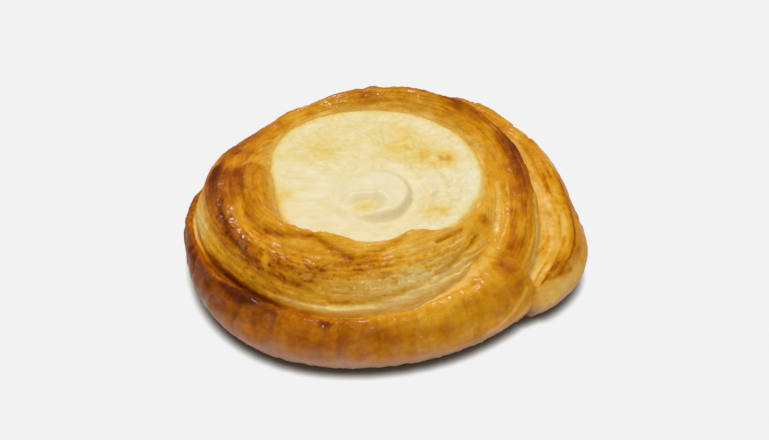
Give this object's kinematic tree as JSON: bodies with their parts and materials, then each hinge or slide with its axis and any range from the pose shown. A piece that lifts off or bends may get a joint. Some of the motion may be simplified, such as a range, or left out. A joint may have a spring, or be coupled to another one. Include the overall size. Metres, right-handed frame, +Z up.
{
  "type": "danish pastry",
  "caption": "Coiled danish pastry of browned laminated dough around a round well filled with baked cream.",
  "frame": {"origin": "centre of the pastry's footprint box, on the flat underside that it rests on", "axes": "+Z up; -Y is the front, where the two flaps lean over the cream; +X is the right, where the strip's tail bulges before it goes under at the front right"},
  "size_m": [0.1206, 0.11, 0.0324],
  "materials": {
    "baked_dough": "glazed, browned crust with paler flaky layers",
    "baked_cream": "satin, slightly wrinkled skin"
  },
  "bodies": {
    "root": {"dough": "baked_dough", "cream_filling": "baked_cream"}
  },
  "joints": []
}
